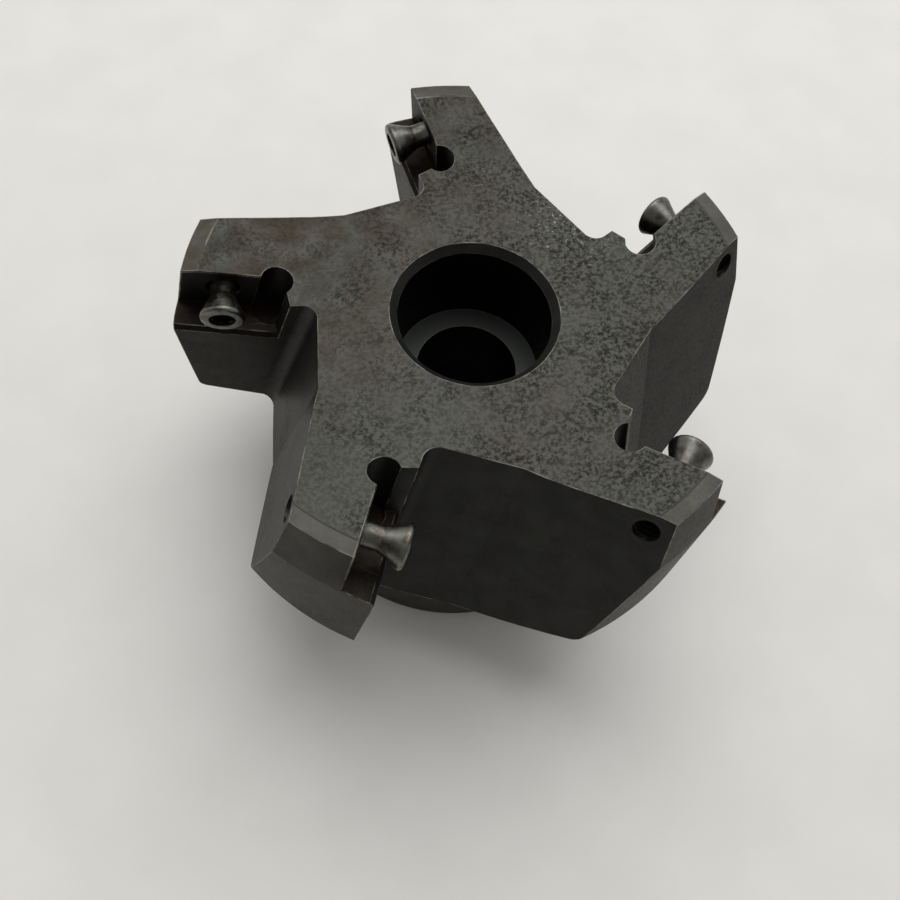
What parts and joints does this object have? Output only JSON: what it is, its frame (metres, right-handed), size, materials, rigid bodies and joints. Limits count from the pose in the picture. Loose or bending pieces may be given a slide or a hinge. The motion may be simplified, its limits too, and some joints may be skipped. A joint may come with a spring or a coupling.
{
  "type": "face mill",
  "caption": "Arbor-mounted face mill body with swept arms, open chip gullets, stepped insert pockets and taper-head insert screws.",
  "frame": {"origin": "on the cutter's axis, in the plane of the mounting face on the hub", "axes": "+Z along the axis to the cutting face; X along the drive slot; the first arm points along +Y"},
  "size_m": [0.077, 0.0773, 0.05],
  "materials": {
    "cutter_steel": "satin",
    "screw_steel": "gloss"
  },
  "bodies": {
    "cutter": {"cutter_body": "cutter_steel"},
    "insert_screw_1": {"insert_screw_1": "screw_steel"},
    "insert_screw_2": {"insert_screw_2": "screw_steel"},
    "insert_screw_3": {"insert_screw_3": "screw_steel"},
    "insert_screw_4": {"insert_screw_4": "screw_steel"},
    "insert_screw_5": {"insert_screw_5": "screw_steel"}
  },
  "joints": [
    {"name": "insert_screw_1_travel", "type": "slide", "parent": "cutter", "child": "insert_screw_1", "axis": [-0.9788, -0.1376, -0.1515], "range_m": [-0.0028, 0.0034]},
    {"name": "insert_screw_2_travel", "type": "slide", "parent": "cutter", "child": "insert_screw_2", "axis": [-0.1716, -0.9734, -0.1515], "range_m": [-0.0023, 0.0039]},
    {"name": "insert_screw_3_travel", "type": "slide", "parent": "cutter", "child": "insert_screw_3", "axis": [0.8728, -0.4641, -0.1515], "range_m": [-0.0033, 0.0029]},
    {"name": "insert_screw_4_travel", "type": "slide", "parent": "cutter", "child": "insert_screw_4", "axis": [0.711, 0.6866, -0.1515], "range_m": [-0.0028, 0.0034]},
    {"name": "insert_screw_5_travel", "type": "slide", "parent": "cutter", "child": "insert_screw_5", "axis": [-0.4333, 0.8884, -0.1515], "range_m": [-0.0021, 0.0041]}
  ]
}
